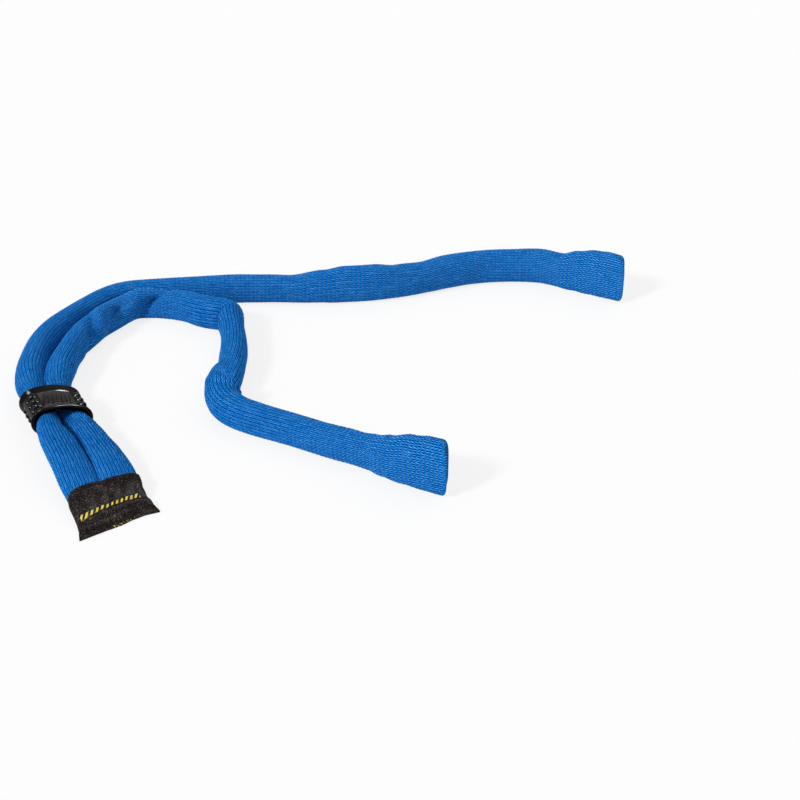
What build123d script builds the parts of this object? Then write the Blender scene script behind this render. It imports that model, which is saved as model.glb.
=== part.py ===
from build123d import *
import math
import os

# Eyeglass retainer strap, laid out flat on its underside.  Millimetres, +Z up.
# +X runs along the two temple sleeves and out of their mouths, +Y is the wearer's left.

os.makedirs("parts", exist_ok=True)

# ---- knitted tube -------------------------------------------------------------------
KNIT_WALL = 1.5          # cotton stockinette, one layer
TUBE_WIDTH = 8.0         # free tube, across
TUBE_HEIGHT = 10.2       # free tube, floor to top
TUBE_CORNER = 3.2
CORNER_FLATS = 3         # the round of each corner is cut in this many flats
LEAST_SIDE = 0.2         # straight side left between two corners

MOUTH_WIDTH = 8.0        # open end that the temple goes into
MOUTH_HEIGHT = 17.0
MOUTH_CORNER = 3.6
LIP_EASE = 0.45          # off both edges of the mouth's turned hem
FLARE_STEPS = ((10.0, 14.8), (20.0, 11.9))   # distance from the mouth, height there
SLEEVE_LENGTH = 30.0     # straight, hollow part that holds the temple
BORE_REACH = 1.0         # of the bore's cut past the mouth

# ---- slider -------------------------------------------------------------------------
SLIDER_LENGTH = 13.8
SLIDER_WALL = 1.1
SLIDER_END_RADIUS = 2.7      # of the bore, at its two narrow ends
SLIDER_ROLL = -13.0          # degrees, leaning on the right-hand end
RIM_WIDTH = 1.4
RIM_PROUD = 0.4
RIM_EASE = 0.35
BORE_EASE = 0.35
BORE_SIDE_CLEARANCE = 0.35
BORE_TOP_CLEARANCE = 0.95    # at mid-width, where the bore arches over the gap
SLIDER_FLOOR_GAP = 0.2
RIB_WIDTH = 1.6
RIB_PROUD = 0.6
RIB_EASE = 0.4
RIB_PITCH = 2.8
RIB_COUNT = 3                # along each shoulder
RIB_FROM_ANGLE = 20.0        # degrees up from the slider's narrow end
RIB_TO_ANGLE = 62.0

# ---- the squeezed stretch that the slider runs on ---------------------------------------
SQUEEZED_WIDTH = 7.2         # each tube
SQUEEZED_HEIGHT = 5.1
SQUEEZED_CORNER = 2.4
TUBE_GAP = 0.2               # between the two tubes
WAIST_LENGTH = 6.0           # from the free tube to the squeezed one
TRAVEL_BACK = 3.0            # slider travel away from the tag
TRAVEL_FORWARD = 28.6        # slider travel towards the tag
TRAVEL_MARGIN = 0.5

# ---- tag: one woven strip, folded at its bottom edge and sewn over the tube ends --------
TAG_WIDTH = 22.5
TAG_LENGTH = 17.0
TAG_SHEET = 0.6
TAG_EASE = 0.1               # left around the tube ends
TAG_ENTRY_HEIGHT = 4.4       # flattened tube where it goes in
TAG_END_HEIGHT = 2.2         # at its cut end
TAG_TUBE_WIDTH = 10.2        # flattened tube, across
TAG_TUBE_CORNER = 1.0
TUBE_IN_TAG = 10.5           # how far the cut ends reach in
TAG_CLOSE = 1.6              # from the cut ends to where the two sheets meet
RIDGE_ROUND = 1.5
FOLD_FLAT = 0.12             # at the nose of the fold
TAPER_LENGTH = 5.0           # from the squeezed tube to the tag

STITCH_COUNT = 9
STITCH_LENGTH = 1.6
STITCH_WIDTH = 0.5
STITCH_PROUD = 0.3
STITCH_INSET = 1.4           # from the tag's top edge
STITCH_MARGIN = 1.6          # from the tag's side edges

# ---- layout on the floor ----------------------------------------------------------------
SLIDER_AT = (-44.0, -58.0)
TAIL_ANGLE = -34.8           # direction from the slider to the tag

# Free routes, each from the inner end of its sleeve to the last bend before the straight tail.
RIGHT_ROUTE = [
    (46.0, -35.1),
    (39.0, -35.1),
    (10.0, -33.9),
    (-6.2, -27.9),
    (-13.5, -4.9),
    (-29.6, 16.7),
    (-47.0, 14.7),
    (-59.4, 10.1),
    (-66.4, -1.4),
    (-67.2, -15.9),
    (-63.8, -28.9),
]
RIGHT_LAST_BEND = -22.0      # distance along the tail from the slider
RIGHT_FOLD = {5: 8.0}        # tight fold: corner number and radius

LEFT_ROUTE = [
    (50.0, 96.7),
    (45.5, 96.7),
    (26.0, 84.7),
    (2.0, 56.6),
    (-32.0, 38.7),
    (-59.8, 20.9),
    (-72.6, 9.1),
    (-76.4, -8.4),
    (-74.4, -24.4),
]
LEFT_LAST_BEND = -25.0
LEFT_FOLD = {}

BEND_SHARE = 0.45            # of the shorter run, taken by each bend

# ---- what follows from the sizes above --------------------------------------------------
FREE_PITCH = TUBE_WIDTH + TUBE_GAP
SQUEEZED_PITCH = SQUEEZED_WIDTH + TUBE_GAP
TAG_PITCH = TAG_TUBE_WIDTH + TUBE_GAP
BORE_HALF_WIDTH = SQUEEZED_WIDTH + TUBE_GAP / 2 + BORE_SIDE_CLEARANCE
BORE_HALF_HEIGHT = SQUEEZED_HEIGHT / 2 + BORE_TOP_CLEARANCE
END_CENTRE = BORE_HALF_WIDTH - SLIDER_END_RADIUS       # of the end arcs, from the middle
ARC_RISE = BORE_HALF_HEIGHT - SLIDER_END_RADIUS
ARC_DROP = (END_CENTRE ** 2 - ARC_RISE ** 2) / (2 * ARC_RISE)   # of the long arcs' centres
SLIDER_HALF_HEIGHT = BORE_HALF_HEIGHT + SLIDER_WALL + RIM_PROUD
SLIDER_LOWEST = SLIDER_HALF_HEIGHT + ARC_DROP * (1 - math.cos(math.radians(SLIDER_ROLL)))
SLIDER_Z = SLIDER_FLOOR_GAP + SLIDER_LOWEST

SQUEEZED_FROM = -(SLIDER_LENGTH / 2 + TRAVEL_BACK + TRAVEL_MARGIN)
SQUEEZED_TO = SLIDER_LENGTH / 2 + TRAVEL_FORWARD + TRAVEL_MARGIN
WAIST_FROM = SQUEEZED_FROM - WAIST_LENGTH
TAG_TOP = SQUEEZED_TO + TAPER_LENGTH
TUBE_END = TAG_TOP + TUBE_IN_TAG
TAG_FLOOR = TAG_SHEET + TAG_EASE / 2


def tail_frame(along, across, height):
    """Plane square to the tail: along it from the slider, across it and up."""
    angle = math.radians(TAIL_ANGLE)
    x = SLIDER_AT[0] + along * math.cos(angle) - across * math.sin(angle)
    y = SLIDER_AT[1] + along * math.sin(angle) + across * math.cos(angle)
    forward = Vector(math.cos(angle), math.sin(angle), 0)
    return Plane(origin=(x, y, height), x_dir=Vector(0, 0, 1).cross(forward), z_dir=forward)


def slider_frame(along, across=0.0):
    """Tail frame that leans with the slider, across it from its middle."""
    level = tail_frame(along, 0, SLIDER_Z)
    lean = math.radians(SLIDER_ROLL)
    x_dir = level.x_dir * math.cos(lean) + Vector(0, 0, 1) * math.sin(lean)
    return Plane(origin=level.origin + x_dir * across, x_dir=x_dir, z_dir=level.z_dir)


def tube_section(plane, width, height, corner):
    """Rectangle with round corners, each in a few flats."""
    corner = min(corner, (min(width, height) - LEAST_SIDE) / 2)
    points = []
    for quarter, (right, up) in enumerate(((1, 1), (-1, 1), (-1, -1), (1, -1))):
        for step in range(CORNER_FLATS + 1):
            angle = math.pi / 2 * (quarter + step / CORNER_FLATS)
            x = right * (width / 2 - corner) + corner * math.cos(angle)
            y = up * (height / 2 - corner) + corner * math.sin(angle)
            points.append((x, y))
    return plane * make_face(Polyline(*points, close=True))


# ---- knitted tubes ----------------------------------------------------------------------

def route_points(route, last_bend, across):
    """Mouth, free route, the tail's last bend and the start of its squeezed stretch."""
    mid_height = TUBE_HEIGHT / 2
    sleeve_end, *bends = [Vector(*point, mid_height) for point in route]
    points = [sleeve_end + Vector(SLEEVE_LENGTH, 0, 0), *bends]
    points.append(tail_frame(last_bend, across, mid_height).origin)
    points.append(tail_frame(SQUEEZED_FROM, across, mid_height).origin)
    return points


def bend_radii(points, folds):
    """The first bend starts where the sleeve ends and the last one ends at the waist."""
    radii = []
    last = len(points) - 2
    for i in range(1, last + 1):
        run_in = points[i] - points[i - 1]
        run_out = points[i + 1] - points[i]
        half_turn = math.radians(run_in.get_angle(run_out)) / 2
        tangent = BEND_SHARE * min(run_in.length, run_out.length)
        if i == 1:
            tangent = run_in.length - SLEEVE_LENGTH
        if i == last:
            tangent = run_out.length - WAIST_LENGTH
        radii.append(folds.get(i, tangent / math.tan(half_turn)))
    return radii


def sleeve(mouth, inset, edge, reach):
    """Loft from the mouth to the free tube, inset by the wall for the bore's cut.

    The mouth's edge is moved out by edge, and the cut reaches past it."""
    stations = [
        (0.0, MOUTH_WIDTH, MOUTH_HEIGHT, MOUTH_CORNER, edge),
        (LIP_EASE, MOUTH_WIDTH, MOUTH_HEIGHT, MOUTH_CORNER, 0),
    ]
    for distance, height in FLARE_STEPS:
        stations.append((distance, TUBE_WIDTH, height, TUBE_CORNER, 0))
    stations.append((SLEEVE_LENGTH, TUBE_WIDTH, TUBE_HEIGHT, TUBE_CORNER, 0))
    sections = []
    for distance, width, height, corner, move in stations:
        grow = move - inset
        plane = Plane(
            origin=(mouth.X - distance, mouth.Y, height / 2),
            x_dir=(0, -1, 0),
            z_dir=(-1, 0, 0),
        )
        sections.append(tube_section(plane, width + 2 * grow, height + 2 * grow, corner + grow))
    solid = loft(sections, ruled=True)
    if reach:
        solid += extrude(sections[0], -reach)
    return solid


def free_tube(points, folds):
    """Constant tube along straight runs and tangent bends, from the sleeve to the waist."""
    radii = bend_radii(points, folds)
    route = FilletPolyline(*points, radius=radii)
    path = Wire(route.edges()[1:-1])
    section_plane = Plane(origin=path @ 0, x_dir=(0, -1, 0), z_dir=path % 0)
    section = tube_section(section_plane, TUBE_WIDTH, TUBE_HEIGHT, TUBE_CORNER)
    tube = sweep(section, path=path)
    print("radii", [round(radius, 1) for radius in radii])
    print("run", round(path.length, 2), "volume ratio", tube.volume / (section.area * path.length))
    return tube


def tail(side):
    """Waist, the squeezed stretch under the slider, the taper and the end in the tag."""
    across_in_tag = side * TAG_PITCH / 2
    entry_z = TAG_FLOOR + TAG_ENTRY_HEIGHT / 2
    end_z = TAG_FLOOR + TAG_END_HEIGHT / 2
    free = tube_section(
        tail_frame(WAIST_FROM, side * FREE_PITCH / 2, TUBE_HEIGHT / 2),
        TUBE_WIDTH, TUBE_HEIGHT, TUBE_CORNER,
    )
    squeezed = [
        tube_section(
            slider_frame(along, side * SQUEEZED_PITCH / 2),
            SQUEEZED_WIDTH, SQUEEZED_HEIGHT, SQUEEZED_CORNER,
        )
        for along in (SQUEEZED_FROM, SQUEEZED_TO)
    ]
    entry = tube_section(
        tail_frame(TAG_TOP, across_in_tag, entry_z),
        TAG_TUBE_WIDTH, TAG_ENTRY_HEIGHT, TAG_TUBE_CORNER,
    )
    end = tube_section(
        tail_frame(TUBE_END, across_in_tag, end_z),
        TAG_TUBE_WIDTH, TAG_END_HEIGHT, TAG_TUBE_CORNER,
    )
    return loft([free, *squeezed, entry, end], ruled=True)


def strap(route, last_bend, folds, side):
    points = route_points(route, last_bend, side * FREE_PITCH / 2)
    mouth = points[0]
    tube = sleeve(mouth, 0, -LIP_EASE, 0) + free_tube(points, folds) + tail(side)
    return tube - sleeve(mouth, KNIT_WALL, LIP_EASE, BORE_REACH)


# ---- slider -----------------------------------------------------------------------------

def oval(plane, grow):
    """Four-arc oval: the bore's outline moved out by grow."""
    end_radius = SLIDER_END_RADIUS + grow
    reach = math.hypot(END_CENTRE, ARC_DROP)
    join_x = END_CENTRE + end_radius * END_CENTRE / reach
    join_y = end_radius * ARC_DROP / reach
    top = BORE_HALF_HEIGHT + grow
    end_x = END_CENTRE + end_radius
    outline = [
        ThreePointArc((-join_x, join_y), (0, top), (join_x, join_y)),
        ThreePointArc((join_x, join_y), (end_x, 0), (join_x, -join_y)),
        ThreePointArc((join_x, -join_y), (0, -top), (-join_x, -join_y)),
        ThreePointArc((-join_x, -join_y), (-end_x, 0), (-join_x, join_y)),
    ]
    return plane * make_face(outline)


def grip_rib(end, face, along):
    """Band round one shoulder, eased on its outer face and tapered into the ring at its ends."""
    foot = SLIDER_END_RADIUS + SLIDER_WALL / 2
    crest = SLIDER_END_RADIUS + SLIDER_WALL + RIB_PROUD
    spread = math.degrees(RIB_PROUD / crest)

    def on_ring(radius, degrees):
        turn = math.radians(degrees)
        return (end * (END_CENTRE + radius * math.cos(turn)), face * radius * math.sin(turn))

    middle = (RIB_FROM_ANGLE + RIB_TO_ANGLE) / 2
    first, last = on_ring(crest, RIB_FROM_ANGLE + spread), on_ring(crest, RIB_TO_ANGLE - spread)
    foot_first, foot_last = on_ring(foot, RIB_FROM_ANGLE - spread), on_ring(foot, RIB_TO_ANGLE + spread)
    outline = [
        ThreePointArc(first, on_ring(crest, middle), last),
        Line(last, foot_last),
        Line(foot_last, foot_first),
        Line(foot_first, first),
    ]
    start = Plane.XY.offset(along - RIB_WIDTH / 2)
    rib = extrude(start * make_face(outline), RIB_WIDTH, dir=(0, 0, 1))
    crest_face = rib.faces().sort_by_distance((*on_ring(crest, middle), along))[0]
    return chamfer(crest_face.edges(), RIB_EASE)


def slider():
    half = SLIDER_LENGTH / 2
    ring = extrude(oval(Plane.XY.offset(-half), SLIDER_WALL), SLIDER_LENGTH)
    for base in (-half, half - RIM_WIDTH):
        rim = extrude(oval(Plane.XY.offset(base), SLIDER_WALL + RIM_PROUD), RIM_WIDTH)
        outline = rim.faces().filter_by(Axis.Z).edges()
        ring += chamfer(outline, RIM_EASE)
    for end in (-1, 1):
        for face in (-1, 1):
            for number in range(RIB_COUNT):
                along = (number - (RIB_COUNT - 1) / 2) * RIB_PITCH
                ring += grip_rib(end, face, along)
    ring -= extrude(oval(Plane.XY.offset(-half), 0), SLIDER_LENGTH)
    ends = ring.faces().filter_by(Plane.XY).sort_by(Axis.Z)
    bore_edges = [face.inner_wires()[0].edges() for face in (ends[0], ends[-1])]
    ring = chamfer(bore_edges[0] + bore_edges[1], BORE_EASE)
    return slider_frame(0).location * ring


# ---- tag --------------------------------------------------------------------------------

def tag_front():
    """Top edge and ridge of the front sheet's outer face: along the tag, and up."""
    entry_top = TAG_SHEET + TAG_ENTRY_HEIGHT + TAG_EASE
    end_top = TAG_SHEET + TAG_END_HEIGHT + TAG_EASE
    ridge = TUBE_IN_TAG + TAG_EASE
    rise = TAG_SHEET * math.hypot(ridge, entry_top - end_top) / ridge
    return (0, entry_top + rise), (ridge + TAG_SHEET / 2, end_top + rise)


def tag_side_view():
    """Folded strip seen from the side: two sheets, the fold, and the pocket between them."""
    top_edge, ridge = tag_front()
    pocket_end = TUBE_IN_TAG + TAG_EASE
    close = pocket_end + TAG_CLOSE
    pocket = Polyline(
        (0, TAG_SHEET),
        (0, TAG_SHEET + TAG_ENTRY_HEIGHT + TAG_EASE),
        (pocket_end, TAG_SHEET + TAG_END_HEIGHT + TAG_EASE),
        (close, TAG_SHEET),
        close=True,
    )
    outer = Polyline(
        (0, 0),
        top_edge,
        ridge,
        (close + TAG_SHEET, 2 * TAG_SHEET),
        (TAG_LENGTH, 2 * TAG_SHEET),
        (TAG_LENGTH, 0),
        close=True,
    )
    profile = make_face(outer)
    fold = profile.vertices().sort_by(Axis.X)[-2:]
    profile = fillet(fold, TAG_SHEET - FOLD_FLAT / 2)
    crest = profile.vertices().sort_by_distance(ridge)[0]
    profile = fillet(crest, RIDGE_ROUND)
    return profile - make_face(pocket)


def tag():
    side = Plane(
        origin=tail_frame(TAG_TOP, -TAG_WIDTH / 2, 0).origin,
        x_dir=tail_frame(0, 0, 0).z_dir,
        z_dir=-tail_frame(0, 0, 0).x_dir,
    )
    return extrude(side * tag_side_view(), -TAG_WIDTH)


def tag_stitching():
    """A row of lock stitches just inside the tag's top edge."""
    top_edge, ridge = tag_front()
    across = tail_frame(0, 0, 0).x_dir
    slope = tail_frame(0, 0, 0).z_dir * ridge[0] + Vector(0, 0, ridge[1] - top_edge[1])
    slope = slope.normalized()
    row = TAG_WIDTH - 2 * STITCH_MARGIN - STITCH_LENGTH
    stitches = []
    for number in range(STITCH_COUNT):
        offset = (number / (STITCH_COUNT - 1) - 0.5) * row
        foot = tail_frame(TAG_TOP, offset, top_edge[1]).origin + slope * STITCH_INSET
        plane = Plane(origin=foot, x_dir=across, z_dir=slope.cross(across))
        stitches.append(extrude(plane * SlotOverall(STITCH_LENGTH, STITCH_WIDTH), STITCH_PROUD))
    return Compound(children=[stitch.solid() for stitch in stitches])


parts = {
    "right_strap": strap(RIGHT_ROUTE, RIGHT_LAST_BEND, RIGHT_FOLD, 1),
    "left_strap": strap(LEFT_ROUTE, LEFT_LAST_BEND, LEFT_FOLD, -1),
    "cord_slider": slider(),
    "tag": tag(),
    "tag_stitching": tag_stitching(),
}

for name, shape in parts.items():
    box = shape.bounding_box()
    print(name, "valid", shape.is_valid, "solids", len(shape.solids()), "volume", round(shape.volume, 1))
    print("   ", [round(v, 2) for v in (*box.min, *box.max)])
    export_step(shape, f"parts/{name}.step")
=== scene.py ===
"""Knitted eyewear retainer: two cotton tubes, a moulded slider and a folded woven tag."""

import math

import bmesh
import bpy
import numpy as np
from bpy.props import FloatProperty, FloatVectorProperty, PointerProperty
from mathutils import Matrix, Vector


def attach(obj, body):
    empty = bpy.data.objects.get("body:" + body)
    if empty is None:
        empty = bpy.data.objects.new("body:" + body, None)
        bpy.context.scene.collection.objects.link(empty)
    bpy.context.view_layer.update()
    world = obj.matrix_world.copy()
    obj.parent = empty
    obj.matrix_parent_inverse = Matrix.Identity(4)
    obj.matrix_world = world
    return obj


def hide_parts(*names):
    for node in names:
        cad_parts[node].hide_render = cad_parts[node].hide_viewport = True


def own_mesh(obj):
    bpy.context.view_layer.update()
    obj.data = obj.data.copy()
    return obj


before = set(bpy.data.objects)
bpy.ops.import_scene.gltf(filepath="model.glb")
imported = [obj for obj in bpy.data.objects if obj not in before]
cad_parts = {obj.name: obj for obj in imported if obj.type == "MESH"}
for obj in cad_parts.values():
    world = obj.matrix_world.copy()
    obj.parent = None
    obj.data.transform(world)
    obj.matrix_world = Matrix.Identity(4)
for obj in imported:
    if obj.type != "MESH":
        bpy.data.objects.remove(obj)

bl_info = {
    "name": "Knitted Eyewear Retainer",
    "version": (1, 0, 0),
    "blender": (4, 5, 0),
    "location": "View3D > Sidebar > Retainer",
    "description": "Builds a knitted eyewear retainer with its slider and tag on a lit floor",
    "category": "Add Mesh",
}

MM = 0.001

# ---- layout, in millimetres -------------------------------------------------------------
SLIDER_AT = (-44.0, -58.0)
TAIL_ANGLE = math.radians(-34.8)
FORWARD = np.array((math.cos(TAIL_ANGLE), math.sin(TAIL_ANGLE), 0.0))
ACROSS = np.array((-math.sin(TAIL_ANGLE), math.cos(TAIL_ANGLE), 0.0))

TUBE_HEIGHT = 10.2              # of the free tube, lying on its narrow side
SLIDER_LENGTH = 13.8
SLIDER_WALL = 1.1
SLIDER_END_RADIUS = 2.7         # of the bore's oval
SLIDER_Z = 5.58                 # middle of the bore above the floor
SLIDER_LEAN = math.radians(-13)
BORE_HALF_WIDTH = 7.65
BORE_HALF_HEIGHT = 3.5
SQUEEZED_PITCH = 7.4            # between the two tubes in the bore
TAG_TOP = 41.6                  # along the tail from the slider's middle

RIGHT_ROUTE = [
    (77.8, -35.1, 5.1),
    (60.0, -35.3, 5.1),
    (50.0, -33.0, 5.1),
    (38.0, -33.5, 5.1),
    (24.0, -33.0, 5.1),
    (12.0, -33.3, 5.1),
    (2.4, -32.5, 5.1),
    (-4.8, -27.8, 5.1),
    (-9.7, -18.1, 5.1),
    (-13.3, -7.0, 5.1),
    (-19.6, 3.3, 5.1),
    (-26.7, 12.1, 5.1),
    (-30.0, 16.7, 5.1),
    (-39.0, 14.6, 5.1),
    (-47.2, 15.7, 5.1),
    (-62.8, 10.3, 5.1),
    (-65.1, 0.2, 5.1),
    (-65.2, -17.6, 5.1),
    (-61.7, -28.2, 5.1),
]
LEFT_ROUTE = [
    (80.0, 96.7, 5.1),
    (58.0, 96.7, 5.1),
    (45.5, 96.7, 5.1),
    (25.8, 84.8, 5.1),
    (3.5, 55.7, 5.1),
    (-33.0, 38.8, 5.1),
    (-60.2, 18.6, 5.1),
    (-72.5, 10.7, 5.1),
    (-75.0, -6.9, 5.1),
    (-75.3, -24.3, 5.1),
]
# Last bend of each tube before the slider: along the tail and across it.
TAIL_BENDS = {1: (-20.6, 6.7), -1: (-24.0, -1.7)}
# Each tube's line from the slider to its cut end: along, across, and height above the floor
# (None where it still leans with the slider).
END_ROUTES = {
    1: [(12.0, 4.7, None), (20.0, 5.1, None), (30.0, 5.6, None), (38.0, 5.7, 3.4),
        (43.0, 5.4, 2.6), (49.0, 5.2, 1.2)],
    -1: [(12.0, -4.7, None), (20.0, -5.2, None), (30.0, -5.3, None), (38.0, -5.3, 4.2),
         (43.0, -5.2, 2.8), (50.0, -5.2, 1.2)],
}

# ---- knit -------------------------------------------------------------------------------
WALES = 26                      # columns of stitches round a tube
COLUMNS_PER_WALE = 4
ROWS_PER_COURSE = 4
CHEVRON = 1.5                   # how far a stitch's two legs slant, in courses
KNIT_WALL = 1.5
SLEEVE_DEPTH = 26.0             # of the open sleeve that the mesh models
MOUTH_SKEW = 0.38               # the mouths are cut a little obliquely
MOUTH_HALF_WIDTH = 3.4
MOUTH_ROUND = 1.2               # how far the mouth's upper and lower corners draw back
MOUTH_REACH = 10.0              # how far in the skew and the rounding die away
HEM_STEPS = 8                   # rows round the turned hem
HEM_COURSES = 1.5               # courses that the hem takes up
MOUTH_FADE = 4.0                # stitches slant fully this far past the hem
END_FADE = 2.0                  # and up to this far from the tube's other end
OUTLINE_POINTS = 361            # that a section is measured with
FLOOR_GAP = 0.05                # least height of the knit above the floor

# Where a tube's section changes: distance, width, height, squareness, lean, how far it lies
# on the floor (1) or keeps to its route's height (0), and how far its wales close up into
# ribs. From the mouth first.
RIGHT_SECTIONS = [
    (0.0, 6.8, 17.4, 3.3, 0.0, 1.0, 0.0),
    (6.0, 7.4, 17.1, 3.0, 0.0, 1.0, 0.0),
    (12.6, 8.2, 16.0, 2.6, 0.0, 1.0, 0.0),
    (20.0, 8.2, 13.4, 2.4, 0.0, 1.0, 0.0),
    (25.0, 8.0, 11.5, 2.3, 0.0, 1.0, 0.0),
    (31.0, 8.4, 10.6, 2.2, 0.0, 1.0, 0.1),
    (46.0, 8.6, 10.0, 2.2, 0.0, 1.0, 0.3),
    (60.0, 8.6, 9.9, 2.2, 0.0, 1.0, 0.9),
    (68.0, 9.5, 9.9, 2.2, 0.0, 1.0, 0.8),
    (80.0, 10.3, 9.9, 2.2, 0.0, 1.0, 0.9),
    (94.0, 11.0, 9.8, 2.2, 0.0, 1.0, 0.5),
    (106.0, 8.9, 9.9, 2.2, 0.0, 1.0, 0.6),
    (124.0, 7.9, 10.3, 2.2, 0.0, 1.0, 0.9),
    (134.0, 9.1, 11.0, 2.2, 0.0, 1.0, 0.9),
    (143.0, 9.7, 10.7, 2.2, 0.0, 1.0, 0.8),
    (158.0, 7.2, 10.4, 2.2, 0.0, 1.0, 0.2),
    (180.0, 8.9, 9.9, 2.1, 0.0, 1.0, 0.3),
    (200.0, 8.2, 10.2, 2.1, 0.0, 1.0, 0.6),
]
LEFT_SECTIONS = [
    (0.0, 6.8, 16.4, 3.2, 0.0, 1.0, 0.0),
    (6.0, 7.4, 16.6, 3.0, 0.0, 1.0, 0.0),
    (12.0, 8.2, 16.2, 2.6, 0.0, 1.0, 0.0),
    (18.0, 8.2, 14.6, 2.4, 0.0, 1.0, 0.0),
    (24.0, 8.2, 12.4, 2.3, 0.0, 1.0, 0.0),
    (31.0, 8.4, 12.4, 2.2, 0.0, 1.0, 0.1),
    (42.0, 8.6, 11.8, 2.2, 0.0, 1.0, 0.3),
    (66.0, 8.6, 12.0, 2.2, 0.0, 1.0, 0.3),
    (74.0, 8.6, 11.2, 2.2, 0.0, 1.0, 0.3),
    (84.0, 8.4, 12.0, 2.2, 0.0, 1.0, 0.3),
    (92.0, 8.2, 13.0, 2.3, 0.0, 1.0, 0.4),
    (102.0, 8.2, 13.0, 2.3, 0.0, 1.0, 0.4),
    (110.0, 8.6, 11.6, 2.2, 0.0, 1.0, 0.4),
    (122.0, 9.2, 9.2, 2.2, 0.0, 1.0, 0.4),
    (130.0, 8.9, 9.5, 2.2, 0.0, 1.0, 0.4),
    (142.0, 8.3, 10.0, 2.1, 0.0, 1.0, 0.4),
    (166.0, 8.5, 10.2, 2.1, 0.0, 1.0, 0.6),
    (190.0, 8.6, 9.6, 2.1, 0.0, 1.0, 0.7),
]
# From the slider's middle, up the tail.
TAIL_SECTIONS = [
    (-26.0, 9.0, 10.0, 2.1, 0.0, 1.0, 0.8),
    (-15.4, 8.8, 7.6, 2.1, -9.0, 0.4, 0.9),
    (-11.2, 7.2, 6.1, 2.1, -13.0, 0.0, 1.0),
    (-5.0, 7.3, 6.2, 2.1, -13.0, 0.0, 1.0),
    (0.0, 5.3, 6.1, 2.1, -13.0, 0.0, 1.0),
]
# From the slider's middle, down to the cut end in the tag.
RIGHT_END_SECTIONS = [
    (0.0, 7.2, 6.1, 2.0, -13.0, 0.0, 1.0),
    (6.9, 7.5, 6.0, 1.9, -13.0, 0.0, 1.0),
    (12.0, 8.6, 6.2, 2.1, -13.0, 0.0, 1.0),
    (20.0, 9.3, 6.3, 2.3, -12.0, 0.0, 1.0),
    (28.0, 10.7, 6.2, 2.4, -12.0, 0.0, 1.0),
    (38.0, 11.2, 5.2, 2.5, -7.0, 0.0, 0.9),
    (42.0, 10.6, 4.2, 2.6, -2.0, 0.0, 0.8),
    (49.0, 9.0, 1.3, 2.6, 0.0, 0.0, 0.8),
]
LEFT_END_SECTIONS = [
    (0.0, 7.2, 6.1, 2.0, -13.0, 0.0, 1.0),
    (6.9, 7.5, 6.0, 1.9, -13.0, 0.0, 1.0),
    (12.0, 9.2, 6.2, 2.1, -13.0, 0.0, 1.0),
    (20.0, 10.1, 6.3, 2.3, -12.0, 0.0, 1.0),
    (28.0, 10.7, 6.2, 2.4, -12.0, 0.0, 1.0),
    (38.0, 11.0, 5.2, 2.5, -7.0, 0.0, 0.9),
    (42.0, 10.6, 4.2, 2.6, -2.0, 0.0, 0.8),
    (50.0, 9.0, 1.3, 2.6, 0.0, 0.0, 0.8),
]
# Soft dents, or with a minus sign ridges: distance from the mouth, turn round the section
# (0 is the side on the left of the way to the slider, 90 the top), reach along, reach round
# in degrees, depth, and slant in mm a degree.
RIGHT_DENTS = [
    (27.0, 60.0, 3.0, 60.0, 0.6, 0.05),
    (85.5, 115.0, 1.5, 70.0, -1.5, -0.055),
    (90.0, 125.0, 2.7, 65.0, 3.0, -0.055),
    (98.0, 100.0, 4.0, 60.0, 0.9, -0.05),
    (101.0, 20.0, 3.0, 60.0, 1.0, 0.0),
    (129.5, 50.0, 1.5, 45.0, -0.7, 0.03),
    (132.0, 35.0, 1.6, 45.0, 1.5, 0.03),
    (158.0, 70.0, 2.4, 50.0, -0.6, -0.06),
    (162.0, 35.0, 2.6, 60.0, 3.6, -0.06),
    (169.0, 60.0, 3.0, 60.0, -0.8, -0.05),
    (179.0, 35.0, 4.0, 60.0, 3.4, -0.07),
    (187.0, 60.0, 2.4, 55.0, -0.9, -0.06),
    (194.5, 25.0, 2.6, 55.0, 2.6, -0.06),
    (208.0, 10.0, 4.0, 50.0, 1.1, 0.0),
]
LEFT_DENTS = [
    (23.0, 40.0, 3.0, 60.0, 0.7, 0.05),
    (52.0, 10.0, 5.0, 60.0, 0.6, -0.06),
    (84.0, 60.0, 4.0, 60.0, 0.4, 0.05),
    (112.0, 60.0, 5.0, 60.0, 0.5, 0.08),
    (176.0, 20.0, 8.0, 45.0, 0.8, 0.0),
    (200.0, 20.0, 10.0, 45.0, 0.9, 0.0),
    (226.0, 20.0, 8.0, 45.0, 0.6, 0.0),
]
# The same for the tube ends, from the slider's middle: under the slider's arch the two
# tubes roll apart.
END_DENTS = {
    1: [(8.0, 140.0, 6.0, 40.0, 1.3, 0.0), (24.0, 110.0, 6.0, 60.0, 0.3, 0.0)],
    -1: [(8.0, 40.0, 6.0, 40.0, 1.3, 0.0), (28.0, 70.0, 6.0, 60.0, 0.3, 0.0)],
}
END_OVERLAP = 3.0               # of each tube's two pieces, inside the slider

CAMERA_AT = (0.2400, -0.3749, 0.26712)
CAMERA_ELEVATION = 32.0
CAMERA_AZIMUTH = 27.74
CAMERA_LENS = 72.8
SENSOR = 36.0


# Noise scales, in repeats a metre.
HEATHER_SCALE = 900.0           # tufts of about 1.1 mm in the cotton
FIBRE_SCALE = 2600.0            # cotton fibres and lint, about 0.4 mm, coarser than the real
RUBBER_CLOUD_SCALE = 240.0      # drifts of about 4 mm in the rubber's tone
LABEL_CLOUD_SCALE = 300.0       # drifts of about 3 mm in the satin
PLY_SCALE = 900.0               # plies of the thread, about 1.1 mm, coarser than the real


# ---- small helpers ----------------------------------------------------------------------

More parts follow.
